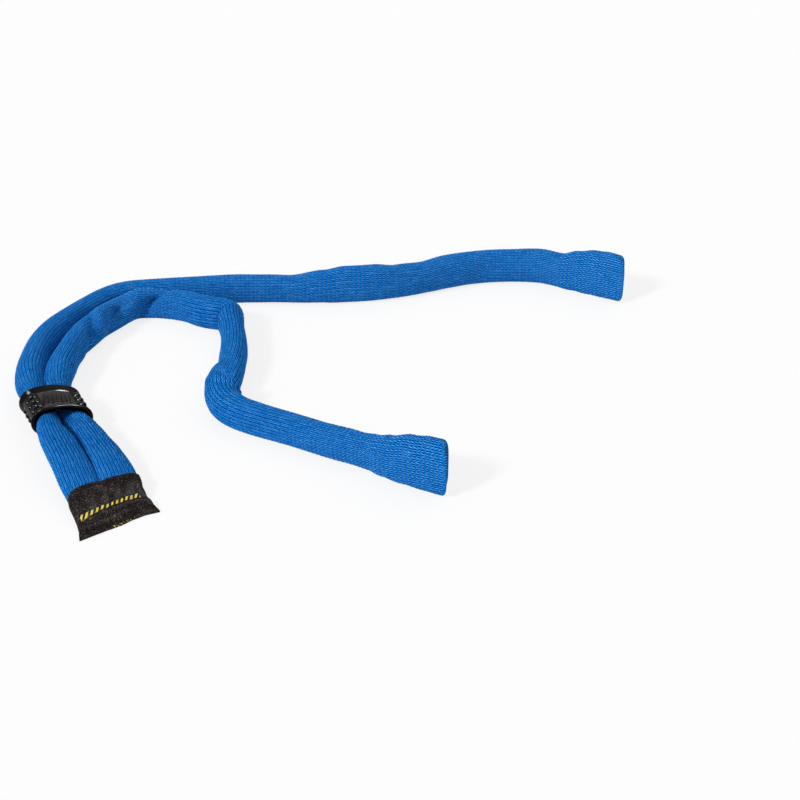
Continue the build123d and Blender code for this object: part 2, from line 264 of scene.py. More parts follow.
def colour(hex_code):
    """Linear RGBA of an sRGB hex value."""
    value = hex_code.lstrip("#")
    parts = [int(value[i:i + 2], 16) / 255 for i in (0, 2, 4)]
    linear = [c / 12.92 if c <= 0.04045 else ((c + 0.055) / 1.055) ** 2.4 for c in parts]
    return (*linear, 1.0)


def size_property(name, description, millimetres):
    """A length that a user may change, kept in metres."""
    return FloatProperty(
        name=name, description=description, default=millimetres * MM, min=0.0,
        unit="LENGTH", precision=5,
    )


def strength_property(name, description, default):
    """Strength of a light."""
    return FloatProperty(name=name, description=description, default=default, min=0.0)


def colour_property(name, description, hex_code):
    return FloatVectorProperty(
        name=name, description=description, default=colour(hex_code), size=4,
        subtype="COLOR", min=0.0, max=1.0,
    )


def node(tree, kind, inputs=None, **settings):
    """Adds a node; inputs are socket values, or (node, output) pairs to link."""
    made = tree.nodes.new(kind)
    for name, value in settings.items():
        setattr(made, name, value)
    for key, value in (inputs or {}).items():
        if isinstance(value, tuple) and isinstance(value[0], bpy.types.Node):
            tree.links.new(value[0].outputs[value[1]], made.inputs[key])
        else:
            made.inputs[key].default_value = value
    return made


def colour_steps(ramp, steps):
    """Sets a colour ramp's stops from (position, linear colour) pairs."""
    elements = ramp.color_ramp.elements
    while len(elements) < len(steps):
        elements.new(0.5)
    for element, (position, value) in zip(elements, steps):
        element.position = position
        element.color = value


def new_material(name):
    material = bpy.data.materials.new(name)
    material.use_nodes = True
    tree = material.node_tree
    return material, tree, tree.nodes["Principled BSDF"]


def tail_point(along, across, height):
    """A place on the tail: along it from the slider's middle, across it and up, in mm."""
    return np.array((*SLIDER_AT, height)) + along * FORWARD + across * ACROSS


def leaning_point(along, across, out):
    """As tail_point, in the leaning frame of the slider."""
    cos, sin = math.cos(SLIDER_LEAN), math.sin(SLIDER_LEAN)
    side = across * cos - out * sin
    rise = across * sin + out * cos
    return tail_point(along, side, SLIDER_Z + rise)


def eased(at, stations, column):
    """Value of one column of a station table, eased from one station to the next."""
    places = np.array([s[0] for s in stations])
    values = np.array([s[column] for s in stations])
    index = np.clip(np.searchsorted(places, at) - 1, 0, len(places) - 2)
    share = np.clip((at - places[index]) / (places[index + 1] - places[index]), 0, 1)
    share = share * share * (3 - 2 * share)
    return values[index] + share * (values[index + 1] - values[index])


def flat_grid(columns, rows):
    """A grid to be rolled or folded into shape, with each corner's column and row."""
    bm = bmesh.new()
    bmesh.ops.create_grid(bm, x_segments=columns, y_segments=rows, size=0.5)
    bm.verts.ensure_lookup_table()
    flat = np.array([v.co for v in bm.verts])
    column = np.rint((flat[:, 0] + 0.5) * columns).astype(int)
    row = np.rint((flat[:, 1] + 0.5) * rows).astype(int)
    return bm, column, row


def lay_map(bm, name, u, v):
    """Gives the grid a UV map from one pair of values a corner."""
    layer = bm.loops.layers.uv.new(name)
    for face in bm.faces:
        for loop in face.loops:
            i = loop.vert.index
            loop[layer].uv = (u[i], v[i])


def finish_mesh(bm, name, materials, smooth=True):
    """Object from a bmesh whose coordinates are in the shared frame, in metres."""
    bmesh.ops.remove_doubles(bm, verts=bm.verts, dist=1e-7)
    bmesh.ops.dissolve_degenerate(bm, edges=bm.edges, dist=1e-7)
    bmesh.ops.recalc_face_normals(bm, faces=bm.faces)
    mesh = bpy.data.meshes.new(name)
    bm.to_mesh(mesh)
    bm.free()
    mesh.polygons.foreach_set("use_smooth", [smooth] * len(mesh.polygons))
    for material in materials:
        mesh.materials.append(material)
    obj = bpy.data.objects.new(name, mesh)
    bpy.context.scene.collection.objects.link(obj)
    return obj


# ---- routes -----------------------------------------------------------------------------

ROUTE_RESOLUTION = 32           # points read for each control point


def read_route(points):
    """Points in mm along the smooth line that the route's control points steer."""
    curve = bpy.data.curves.new("route", "CURVE")
    curve.dimensions = "3D"
    curve.resolution_u = ROUTE_RESOLUTION
    spline = curve.splines.new("NURBS")
    spline.points.add(len(points) - 1)
    for point, place in zip(spline.points, points):
        point.co = (*(c * MM for c in place), 1.0)
    spline.order_u = 3
    spline.use_endpoint_u = True
    carrier = bpy.data.objects.new("route", curve)
    mesh = bpy.data.meshes.new_from_object(carrier)
    line = np.array([v.co for v in mesh.vertices]) / MM
    bpy.data.objects.remove(carrier)
    bpy.data.curves.remove(curve)
    bpy.data.meshes.remove(mesh)
    return line


def lengths_along(line):
    return np.concatenate(([0.0], np.cumsum(np.linalg.norm(np.diff(line, axis=0), axis=1))))


def squeezed_height(across):
    """Height of a squeezed tube's middle, on the slider's lean."""
    return SLIDER_Z + across * math.sin(SLIDER_LEAN)


def main_route(route, side):
    """From the mouth to the slider's middle."""
    half = side * SQUEEZED_PITCH / 2
    points = [*route, tail_point(*TAIL_BENDS[side], TUBE_HEIGHT / 2)]
    for along in (-12.4, -6.0, 0.0):
        points.append(tail_point(along, half, squeezed_height(half)))
    return read_route(points)


def end_route(side):
    """From just inside the other piece, in the slider, to the cut end in the tag."""
    half = side * SQUEEZED_PITCH / 2
    starts = (-END_OVERLAP, 0.0, 5.0)
    points = [tail_point(along, half, squeezed_height(half)) for along in starts]
    for along, across, height in END_ROUTES[side]:
        if height is None:
            height = squeezed_height(across)
        points.append(tail_point(along, across, height))
    return read_route(points)


# ---- knitted tubes ----------------------------------------------------------------------

def section_outline(width, height, power, columns):
    """Evenly spaced points of a rounded section from the middle of its underside, with the
    direction out of it at each."""
    turn = np.linspace(-math.pi / 2, 3 * math.pi / 2, OUTLINE_POINTS)
    x = width / 2 * np.sign(np.cos(turn)) * np.abs(np.cos(turn)) ** (2 / power)
    z = height / 2 * np.sign(np.sin(turn)) * np.abs(np.sin(turn)) ** (2 / power)
    run = np.concatenate(([0.0], np.cumsum(np.hypot(np.diff(x), np.diff(z)))))
    at = np.linspace(0, run[-1], columns + 1)
    x, z = np.interp(at, run, x), np.interp(at, run, z)
    dx, dz = np.gradient(x), np.gradient(z)
    dx[0] = dx[-1] = 1.0
    dz[0] = dz[-1] = 0.0
    size = np.hypot(dx, dz)
    return np.stack([x, z, dz / size, -dx / size])


def tube_rows(length, course, hem):
    """Rows of the tube's grid: distance, inset from the outside, course and relief."""
    rows = []
    if hem:
        for step in range(int((SLEEVE_DEPTH - KNIT_WALL) / course), 0, -1):
            distance = KNIT_WALL / 2 + step * course
            rows.append((distance, KNIT_WALL, -distance / course, 0.0))
        for step in range(HEM_STEPS + 1):
            turn = math.pi * step / HEM_STEPS
            inset = KNIT_WALL / 2 * (1 + math.cos(turn))
            distance = KNIT_WALL / 2 * (1 - math.sin(turn))
            course_place = (turn / math.pi - 0.5) * HEM_COURSES
            rows.append((distance, inset, course_place, 0.5 * step / HEM_STEPS))
        start = KNIT_WALL / 2
    else:
        start = 0.0
    count = int((length - start) / course * ROWS_PER_COURSE)
    for step in range(1, count + 1):
        distance = start + step * course / ROWS_PER_COURSE
        relief = min(1.0, 0.5 + 0.1 * step)
        rows.append((min(distance, length), 0.0, distance / course, relief))
    return np.array([rows[0], *rows, rows[-1]])       # first and last rows close to a point


def stitch_relief(wale, course, relief, ribbed, name):
    """How far each corner of the grid stands out for its stitch, as a share of the knit's
    relief. Where the wales are ribbed, each stands up whole, and elsewhere its stitches'
    two legs do."""
    strand = np.sin(math.pi * course) ** 2
    leg = np.abs(np.sin(2 * math.pi * wale))
    rib = np.sin(math.pi * wale) ** 2
    rng = np.random.default_rng(7 if "right" in name else 11)
    loose = rng.normal(0, 0.25, (int(np.abs(course).max()) * 2 + 4, WALES * 2 + 1))
    loose = loose[np.floor(course).astype(int), np.floor(wale * 2).astype(int)]
    stitch = leg * (0.45 + 0.55 * strand) * (1 + 0.3 * loose) - 0.5
    whole = rib * (1.1 + 0.4 * strand) * (1 + 0.15 * loose) - 0.7
    return relief * (stitch + ribbed * (whole - stitch))


def dent_depth(distance, turn, dents):
    depth = np.zeros(len(distance))
    for place, toward, reach, spread, deep, slant in dents:
        off = (turn - toward + 180) % 360 - 180
        near = ((distance - place - slant * off) / reach) ** 2
        depth += deep * np.exp(-near - (off / spread) ** 2)
    return depth


def along_line(line, total, distance):
    return np.stack([np.interp(distance, total, line[:, i]) for i in range(3)], axis=1)


def level_left(line, total, distance):
    """Level direction to the left of the line at each distance."""
    step = 0.6
    heading = along_line(line, total, distance + step) - along_line(line, total, distance - step)
    heading[:, 2] = 0
    heading /= np.linalg.norm(heading, axis=1)[:, None]
    return np.stack([-heading[:, 1], heading[:, 0], np.zeros(len(heading))], axis=1)


def knitted_tube(name, line, stations, dents, hem, knit, material):
    """Rolls a flat knit on to the line: rows are courses, columns are wales."""
    total = lengths_along(line)
    course_length = knit.course / MM
    rows = tube_rows(total[-1], course_length, hem)
    columns = WALES * COLUMNS_PER_WALE
    bm, column, row = flat_grid(columns, len(rows) - 1)

    distance, inset, course, relief = rows[row].T
    wale = column / COLUMNS_PER_WALE
    slant = CHEVRON * np.abs(2 * (wale % 1) - 1)
    fade = np.clip((distance - KNIT_WALL) / MOUTH_FADE, 0, 1) if hem else 1
    fade = fade * np.clip((total[-1] - distance) / END_FADE, 0, 1)
    course = course - slant * (1 - fade)
    distance = distance + slant * course_length * fade

    outlines = np.array([section_outline(*values, columns) for values in zip(
        *(eased(rows[:, 0], stations, i) for i in (1, 2, 3))
    )])
    x, z, normal_x, normal_z = (outlines[row, i, column] for i in range(4))
    pole = (row == 0) | (row == len(rows) - 1)
    ribbed = eased(distance, stations, 6)
    out = knit.relief / MM * stitch_relief(wale, course, relief, ribbed, name) - inset
    out -= dent_depth(distance, 360 * column / columns - 90, dents)
    x = np.where(pole, 0, x + out * normal_x)
    z = np.where(pole, 0, z + out * normal_z)

    height = eased(distance, stations, 2)
    if hem:                                           # the mouth's corners are drawn back
        reach = np.clip(np.abs(2 * z / height), 0, 1)
        near_mouth = np.clip(1 - distance / MOUTH_REACH, 0, 1)
        drawn_back = MOUTH_ROUND * reach ** 5 + MOUTH_SKEW * (MOUTH_HALF_WIDTH - x)
        distance = distance + drawn_back * near_mouth

    lean = np.radians(eased(distance, stations, 4))
    side = x * np.cos(lean) - z * np.sin(lean)
    rise = x * np.sin(lean) + z * np.cos(lean)
    place = along_line(line, total, distance)
    place += side[:, None] * level_left(line, total, distance)
    place[:, 2] += rise + eased(distance, stations, 5) * (height - TUBE_HEIGHT) / 2
    place[:, 2] = np.maximum(place[:, 2], FLOOR_GAP)
    # The ribbed share sets the ribs' relief and, in the material, the painted shade of the
    # furrows and painted light on the rib backs.
    layer = bm.verts.layers.float.new("ribbed")
    for vert, co, value in zip(bm.verts, place * MM, ribbed):
        vert.co = co
        vert[layer] = value
    lay_map(bm, "knit", wale, course)
    tube = finish_mesh(bm, name, [material])

    rings = np.linspace(0, total[-1], int(total[-1] / course_length))
    path = along_line(line, total, rings)
    path[:, 2] += eased(rings, stations, 5) * (eased(rings, stations, 2) - TUBE_HEIGHT) / 2
    return tube, path * MM


def knit_material(knit):
    """Combed cotton in a plain tubular knit: matt yarn, with painted shade in the holes between
    stitches, where little light gets in, between the strands and in the furrows of ribbed
    wales, and a painted highlight on the crown of each stitch and on the backs of the ribs."""
    material, tree, shader = new_material("combed_cotton_knit")
    uv = node(tree, "ShaderNodeUVMap", uv_map="knit")
    place = node(tree, "ShaderNodeSeparateXYZ", {0: (uv, 0)})
    coords = node(tree, "ShaderNodeTexCoord")
    ribbed = node(tree, "ShaderNodeAttribute", attribute_name="ribbed")

    # Distance from the nearest edge of a stitch leg, of a strand and of a wale.
    leg = node(tree, "ShaderNodeMath", {0: (place, 0), 1: 0.25}, operation="PINGPONG")
    strand = node(tree, "ShaderNodeMath", {0: (place, 1), 1: 0.5}, operation="PINGPONG")
    wale = node(tree, "ShaderNodeMath", {0: (place, 0), 1: 0.5}, operation="PINGPONG")
    shares = {}
    for name, source, start, end in (
        ("seam", leg, 0.17, 0.02), ("gap", strand, 0.3, 0.05), ("furrow", wale, 0.15, 0.0),
        ("middle", leg, 0.06, 0.22), ("crown", strand, 0.2, 0.45), ("back", wale, 0.2, 0.45),
    ):
        shares[name] = node(tree, "ShaderNodeMapRange", {0: (source, 0), 1: start, 2: end},
                            interpolation_type="SMOOTHSTEP")
    # Painted shade in the holes, where a seam between legs meets a gap between strands, and a
    # painted highlight on the middle of each stitch leg; both are halved where the wales are
    # ribbed.
    plain = node(tree, "ShaderNodeMath", {0: (ribbed, 2), 1: -0.5, 2: 1.0},
                 operation="MULTIPLY_ADD")
    for name, one, other in (
        ("hole", shares["seam"], shares["gap"]), ("hole", None, plain),
        ("glint", shares["middle"], shares["crown"]), ("glint", None, plain),
    ):
        first = one or shares[name]
        shares[name] = node(tree, "ShaderNodeMath", {0: (first, 0), 1: (other, 0)},
                            operation="MULTIPLY")
    # Where the wales are ribbed: painted shade in the furrows between them and painted light on
    # the backs of the ribs.
    for name in ("furrow", "back"):
        shares[name] = node(tree, "ShaderNodeMath", {0: (shares[name], 0), 1: (ribbed, 2)},
                            operation="MULTIPLY")

    # Each stitch leg has its own tone, and the yarn is heathered.
    column = node(tree, "ShaderNodeMath", {0: (place, 0), 1: 2.0}, operation="MULTIPLY")
    cell_u = node(tree, "ShaderNodeMath", {0: (column, 0)}, operation="FLOOR")
    cell_v = node(tree, "ShaderNodeMath", {0: (place, 1)}, operation="FLOOR")
    cell = node(tree, "ShaderNodeCombineXYZ", {0: (cell_u, 0), 1: (cell_v, 0)})
    own = node(tree, "ShaderNodeTexWhiteNoise", {"Vector": (cell, 0)}, noise_dimensions="2D")
    heather = node(tree, "ShaderNodeTexNoise", {"Vector": (coords, "Object"),
                                                "Scale": HEATHER_SCALE, "Detail": 2.0})
    # The tone sums painted shade in the holes, the gaps between strands and the furrows, painted
    # light on the stitch crowns and the backs of the ribs, each leg's own tone and the heather.
    tone = None
    for source, output, weight in (
        (shares["hole"], 0, -0.7), (shares["glint"], 0, 0.46), (shares["gap"], 0, -0.12),
        (shares["furrow"], 0, -0.48), (shares["back"], 0, 0.1), (own, 0, 0.12),
        (heather, 0, 0.26),
    ):
        base = 0.35 if tone is None else (tone, 0)
        tone = node(tree, "ShaderNodeMath", {0: (source, output), 1: weight, 2: base},
                    operation="MULTIPLY_ADD")
    # The ramp runs from the painted shade of the holes through the yarn's shade and the yarn to
    # the painted highlight, with the loose fibres, on the crowns.
    ramp = node(tree, "ShaderNodeValToRGB", {0: (tone, 0)})
    colour_steps(ramp, (
        (0.04, knit.hole_shade_colour), (0.32, knit.shade_colour), (0.58, knit.yarn_colour),
        (0.92, knit.crown_fibres_and_highlight_colour),
    ))
    tree.links.new(ramp.outputs[0], shader.inputs["Base Color"])

    fibre = node(tree, "ShaderNodeTexNoise", {"Vector": (coords, "Object"),
                                              "Scale": FIBRE_SCALE, "Detail": 2.0})
    depth = node(tree, "ShaderNodeMath", {0: (shares["gap"], 0), 1: -0.6, 2: (fibre, 0)},
                 operation="MULTIPLY_ADD")
    bump = node(tree, "ShaderNodeBump", {"Height": (depth, 0), "Strength": 0.5,
                                         "Distance": 0.0003})
    tree.links.new(bump.outputs[0], shader.inputs["Normal"])
    shader.inputs["Roughness"].default_value = 0.95
    shader.inputs["Specular IOR Level"].default_value = 0.0
    shader.inputs["Sheen Weight"].default_value = 0.03
    shader.inputs["Sheen Roughness"].default_value = 0.4
    shader.inputs["Sheen Tint"].default_value = colour("#4A94E0")
    return material


class RetainerKnit(bpy.types.PropertyGroup):
    """Sizes and yarn colours of the knitted tubes, with the painted shade of the holes and the
    painted highlight on the crowns
    """

    course: size_property("Course", "Spacing of the rows of stitches along the tube", 1.4)
    relief: size_property("Stitch Relief", "Height of a stitch above the gaps round it", 0.22)
    # Painted shade in the holes between stitches
    hole_shade_colour: colour_property("Hole", "Between two stitches", "#00285F")
    shade_colour: colour_property("Shade", "Yarn in the shade of its neighbours", "#0056AA")
    yarn_colour: colour_property("Yarn", "The dyed cotton itself", "#006EC2")
    # Painted highlight on the stitch crowns, together with the light of their loose fibres
    crown_fibres_and_highlight_colour: colour_property("Crown", "Loose fibres on the crown of a stitch", "#62ACEC")


class RETAINER_OT_tubes(bpy.types.Operator):
    """Knits the two tubes with their sleeves and their ends in the tag"""

    bl_idname = "retainer.tubes"
    bl_label = "Knitted Tubes"

    def execute(self, context):
        knit = context.scene.retainer_knit
        material = knit_material(knit)
        for name, route, stations, end_stations, dents, side in (
            ("right", RIGHT_ROUTE, RIGHT_SECTIONS, RIGHT_END_SECTIONS, RIGHT_DENTS, 1),
            ("left", LEFT_ROUTE, LEFT_SECTIONS, LEFT_END_SECTIONS, LEFT_DENTS, -1),
        ):
            line = main_route(route, side)
            length = lengths_along(line)[-1]
            table = [*stations, *((length + s[0], *s[1:]) for s in TAIL_SECTIONS)]
            tube, path = knitted_tube(
                f"{name}_knit_tube", line, table, dents, True, knit, material,
            )
            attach(tube, "strap")
            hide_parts(f"{name}_strap")
            end_table = [(END_OVERLAP + s[0], *s[1:]) for s in end_stations]
            end_dents = [(END_OVERLAP + d[0], *d[1:]) for d in END_DENTS[side]]
            end, _ = knitted_tube(
                f"{name}_tube_end", end_route(side), end_table, end_dents, False, knit, material,
            )
            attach(end, "strap")
            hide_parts(f"{name}_strap")
            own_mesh(end)
        return {"FINISHED"}


# ---- slider -----------------------------------------------------------------------------

RING_SEGMENTS = 192
RIB_COUNT = 3
RIB_ANGLES = (16.0, 74.0)       # round each shoulder, from the narrow end
RIB_DIP = (35.0, 7.0, 0.95)     # dip in each rib: its place, reach and share of the height
PANEL_HALF_WIDTH = 5.3
PANEL_HALF_LENGTH = 4.9
PANEL_EDGE = 0.5
MARK_COUNT = 7                  # plain raised bars in the panel
MARK_PITCH = 1.4
MARK_WIDTH = 0.84
MARK_SLANT = 0.28
MARK_SHORTER = 0.22             # share of its length that every second bar lacks
MARK_CROWN = 0.62               # width of a bar's crown, as a share of its foot's
MARK_ROUND = 0.1
BEAD_POINTS = 17                # round each bead's section
WALL_ROWS = 52                  # along the outside between the beads
BORE_ROWS = 6
ARC_POINTS = 90                 # that each arc of the bore is measured with
RIB_SHARE = 0.38                # half a rib's width, as a share of the pitch
PARTING_HEIGHT = 0.12           # mould line along both narrow ends
PARTING_REACH = 0.09
PANEL_FACING = 0.8              # least sine of the turn at which a panel lies


class RetainerSlider(bpy.types.PropertyGroup):
    """Sizes and colours of the moulded slider"""

    rim_width: size_property("Rim Width", "Of the bead round each end", 1.4)
    rim_height: size_property("Rim Height", "Crest of the bead above the bore", 1.95)
    rib_pitch: size_property("Rib Pitch", "Between the grip ribs on a shoulder", 2.8)
    rib_proud: size_property("Rib Height", "Of a grip rib above the wall", 0.95)
    panel_depth: size_property("Panel Depth", "How far the panel is sunk", 0.4)
    mark_length: size_property("Mark Length", "Of the raised bars in the panel", 6.4)
    gloss_colour: colour_property("Polished", "Rubber on the beads and ribs", "#030303")
    # The grained panel's grey is partly the rubber's own tone and partly painted reflection, the
    # dull sheen of the grain
    panel_rubber_and_sheen_colour: colour_property("Grained", "Rubber in the sunk panel", "#463F3E")


def bore_arcs():
    """Centre of the end arcs, drop of the long arcs' centres, and the turn where they join."""
    end_x = BORE_HALF_WIDTH - SLIDER_END_RADIUS
    rise = BORE_HALF_HEIGHT - SLIDER_END_RADIUS
    drop = (end_x ** 2 - rise ** 2) / (2 * rise)
    return end_x, drop, math.atan2(drop, end_x)


def bore_outline():
    """Evenly spaced points of the four-arc bore, with the direction out of it at each."""
    end_x, drop, join = bore_arcs()
    arcs = (
        (end_x, 0.0, SLIDER_END_RADIUS, -join, join),
        (0.0, -drop, BORE_HALF_HEIGHT + drop, join, math.pi - join),
        (-end_x, 0.0, SLIDER_END_RADIUS, math.pi - join, math.pi + join),
        (0.0, drop, BORE_HALF_HEIGHT + drop, math.pi + join, 2 * math.pi - join),
    )
    points = []
    for centre_x, centre_z, radius, first, last in arcs:
        for turn in np.linspace(first, last, ARC_POINTS, endpoint=False):
            place_x = centre_x + radius * math.cos(turn)
            place_z = centre_z + radius * math.sin(turn)
            points.append((place_x, place_z, turn))
    points.append((*points[0][:2], points[0][2] + 2 * math.pi))
    x, z, turn = np.array(points).T
    run = np.concatenate(([0.0], np.cumsum(np.hypot(np.diff(x), np.diff(z)))))
    at = np.linspace(0, run[-1], RING_SEGMENTS + 1)
    return np.interp(at, run, x), np.interp(at, run, z), np.interp(at, run, turn)


def slider_profile(rim_width, rim_height):
    """Wall section as a closed loop: place along the slider and height above the bore."""
    half = SLIDER_LENGTH / 2
    bead = rim_width / 2
    loop = []
    for end, first, last in ((-1, 270, 90), (1, 90, -90)):
        if end == 1:
            foot = half - rim_width - 0.1
            loop += [(along, SLIDER_WALL) for along in np.linspace(-foot, foot, WALL_ROWS)]
        for turn in np.radians(np.linspace(first, last, BEAD_POINTS)):
            along = end * (half - bead) + bead * math.cos(turn)
            loop.append((along, rim_height / 2 * (1 + math.sin(turn))))
    loop += [(along, 0.0) for along in np.linspace(half - 2, -half + 2, BORE_ROWS)]
    return np.array([*loop, loop[0]])


def shoulder_ribs(along, turn, slider):
    """Height of the grip ribs: rounded, short, each with a dip that parts it in two."""
    pitch = slider.rib_pitch / MM
    shoulder = np.degrees(np.arctan2(np.abs(np.sin(turn)), np.abs(np.cos(turn))))
    middle = sum(RIB_ANGLES) / 2
    spread = (RIB_ANGLES[1] - RIB_ANGLES[0]) / 2
    band = np.clip(1 - np.abs((shoulder - middle) / spread) ** 4, 0, 1) ** 0.5
    place, reach, share = RIB_DIP
    dip = 1 - share * np.exp(-((shoulder - place) / reach) ** 2)
    off = np.abs((along / pitch + RIB_COUNT / 2) % 1 - 0.5) * pitch
    bump = np.sqrt(np.clip(1 - (off / (RIB_SHARE * pitch)) ** 2, 0, 1))
    bump = np.where(np.abs(along) < RIB_COUNT * pitch / 2, bump, 0)
    return slider.rib_proud / MM * band * dip * bump


def slider_ring(slider, materials):
    x, z, turn = bore_outline()
    profile = slider_profile(slider.rim_width / MM, slider.rim_height / MM)
    bm, column, row = flat_grid(RING_SEGMENTS, len(profile) - 1)
    along, grow = profile[row].T
    across, out, turn = x[column], z[column], turn[column]
    facing = np.abs(np.sin(turn))

    between_beads = (SLIDER_LENGTH - 2 * slider.rim_width / MM) / 2
    wall = (grow > SLIDER_WALL - 0.01) & (np.abs(along) < between_beads)
    share_x = np.clip((PANEL_HALF_WIDTH - np.abs(across)) / PANEL_EDGE, 0, 1)
    share_y = np.clip((PANEL_HALF_LENGTH - np.abs(along)) / PANEL_EDGE, 0, 1)
    panel = np.minimum(share_x, share_y) * (facing > PANEL_FACING)
    parting = PARTING_HEIGHT * np.exp(-(facing / PARTING_REACH) ** 2)
    relief = shoulder_ribs(along, turn, slider) - slider.panel_depth / MM * panel + parting
    grow = grow + np.where(wall, relief, 0)
    across_at = across + grow * np.cos(turn)
    out_at = out + grow * np.sin(turn)
    for vert, a, c, o in zip(bm.verts, along, across_at, out_at):
        vert.co = leaning_point(a, c, o) * MM
    sunk = wall & (panel > 0.6)
    for face in bm.faces:
        face.material_index = int(all(sunk[v.index] for v in face.verts))
    return finish_mesh(bm, "moulded_slider", materials)


def panel_height(across, panel_depth):
    """Height of the sunk panel above the middle of the bore."""
    _, drop, _ = bore_arcs()
    radius = BORE_HALF_HEIGHT + drop + SLIDER_WALL - panel_depth
    return math.sqrt(radius ** 2 - across ** 2) - drop


def slider_marks(slider, material):
    """Slanted, round-topped bars that stand up from the sunk panel. Each is 1 mm high, half
    of it in the wall."""
    bm = bmesh.new()
    length = slider.mark_length / MM
    for number in range(MARK_COUNT):
        offset = (number - (MARK_COUNT - 1) / 2) * MARK_PITCH
        shorter = 1 - MARK_SHORTER * (number % 2)
        verts = bmesh.ops.create_cube(bm, size=1.0)["verts"]
        edges = list({edge for vert in verts for edge in vert.link_edges})
        for vert in verts:
            taper = 1 if vert.co.z < 0 else MARK_CROWN
            vert.co.x *= MARK_WIDTH * taper
            vert.co.y *= length * shorter * (0.5 + 0.5 * taper)
        made = bmesh.ops.bevel(
            bm, geom=edges, offset=MARK_ROUND, segments=2, profile=0.5, affect="EDGES",
            material=-1,
        )
        bar = {v for face in made["faces"] for v in face.verts}
        bar |= {v for v in verts if v.is_valid}
        for vert in bar:
            across = vert.co.x + offset + MARK_SLANT * vert.co.y
            out = panel_height(across, slider.panel_depth / MM) + vert.co.z
            vert.co = leaning_point(-vert.co.y, across, out) * MM
    return finish_mesh(bm, "slider_marks", [material])


def rubber_material(name, base, roughness, specular, grain, grain_scale):
    """Injection-moulded thermoplastic rubber: black, wet-looking where the mould was
    polished and dull where it was grained."""
    material, tree, shader = new_material(name)
    coords = node(tree, "ShaderNodeTexCoord")
    cloud = node(tree, "ShaderNodeTexNoise", {"Vector": (coords, "Object"),
                                              "Scale": RUBBER_CLOUD_SCALE, "Detail": 4.0})
    tone = node(tree, "ShaderNodeValToRGB", {0: (cloud, 0)})
    dark = tuple(c * 0.55 for c in base[:3])
    colour_steps(tone, ((0.3, (*dark, 1.0)), (0.7, tuple(base))))
    tree.links.new(tone.outputs[0], shader.inputs["Base Color"])
    rough = node(tree, "ShaderNodeMapRange", {0: (cloud, 0), 3: roughness - 0.04,
                                              4: roughness + 0.06})
    tree.links.new(rough.outputs[0], shader.inputs["Roughness"])
    pores = node(tree, "ShaderNodeTexNoise", {"Vector": (coords, "Object"),
                                              "Scale": grain_scale, "Detail": 2.0})
    bump = node(tree, "ShaderNodeBump", {"Height": (pores, 0), "Strength": grain,
                                         "Distance": 0.0001})
    tree.links.new(bump.outputs[0], shader.inputs["Normal"])
    shader.inputs["IOR"].default_value = 1.5
    shader.inputs["Specular IOR Level"].default_value = specular
    return material


class RETAINER_OT_slider(bpy.types.Operator):
    """Moulds the oval slider with its beads, grip ribs and sunk panels"""

    bl_idname = "retainer.slider"
    bl_label = "Cord Slider"

    def execute(self, context):
        slider = context.scene.retainer_slider
        gloss = rubber_material(
            "polished_moulded_rubber", slider.gloss_colour, roughness=0.15, specular=0.07,
            grain=0.02, grain_scale=900.0,
        )
        # The matt rubber's lighter base colour carries painted reflection, the sheen of its
        # grain, and its specular level is kept low.
        matt = rubber_material(
            "grained_moulded_rubber", slider.panel_rubber_and_sheen_colour, roughness=0.5, specular=0.04,
            grain=0.3, grain_scale=2600.0,
        )
        ring = slider_ring(slider, (gloss, matt))
        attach(ring, "slider")
        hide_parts("cord_slider")
        marks = slider_marks(slider, gloss)
        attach(marks, "slider")
        return {"FINISHED"}


# ---- tag --------------------------------------------------------------------------------

TAG_DEPTH = 16.8                # of the front sheet, from its top edge to the fold
TAG_COLUMNS = 96
TAG_ROWS = 96
TAG_NOSE_ROWS = 8
TAG_PUFF = 3.6                  # squareness of the pouch's section where the tubes fill it
# Side edges and length of the label on the tail, by distance down from its top edge.
TAG_LEFT_EDGE = [(0.0, -10.0), (4.0, -10.7), (11.0, -10.9), (14.0, -11.4), (16.8, -12.4)]
TAG_RIGHT_EDGE = [
    (0.0, 11.3), (2.5, 11.1), (5.0, 10.6), (8.0, 10.7), (12.5, 11.1), (16.8, 11.8),
]
TAG_REACH = [
    (-12.0, 17.5), (-8.4, 16.9), (-4.0, 16.3), (0.0, 15.9), (3.8, 14.9), (7.7, 14.4),
    (12.0, 14.8),
]
TAG_BACK = 0.25                 # back sheet above the floor
VALLEY_AT = 8.7                 # down from the top edge, at mid-width
VALLEY_LEFT_DROP = 2.6          # how much further down it lies at the left edge
VALLEY_RIGHT_DROP = 0.5
RIDGE_END = 0.62                # share of the way from valley to fold that the ridge takes
TAG_GROOVE = 0.35               # dip between the two tube ends
TAG_RIPPLE = 0.1
# The woven marks, by place across the tag and down from its top edge.
TWILL_ACROSS = 2.2              # lines a mm, so 0.45 mm apart
TWILL_DOWN = 1.3
WOVEN_LEAN = 0.68               # mm across a mm down
WOVEN_SHARE = 0.46              # of the pitch that a mark fills
WOVEN_ROW = (8.75, 2.0)         # down to the row's middle, and how much further at its left
WOVEN_HALF = (0.8, 0.75)        # half the row's height, and how much more at its left
WOVEN_SPAN = (-0.4, 9.2)        # middle and half length of the row
FLECK_HALF = 0.14               # half the height of the second row, on the fold
FLECK_SPAN = (1.2, 3.4)
FLECK_SHARE = 0.62              # lint value past which a fleck shows
STITCH_COUNT = 9
STITCH_INSET = 1.4              # of the stitches from the top edge
STITCH_REACH = 0.76             # of the row to each side, as a share of half the width
STITCH_HALF_LENGTH = 0.15       # as a share of half the width
STITCH_BOW = 0.05


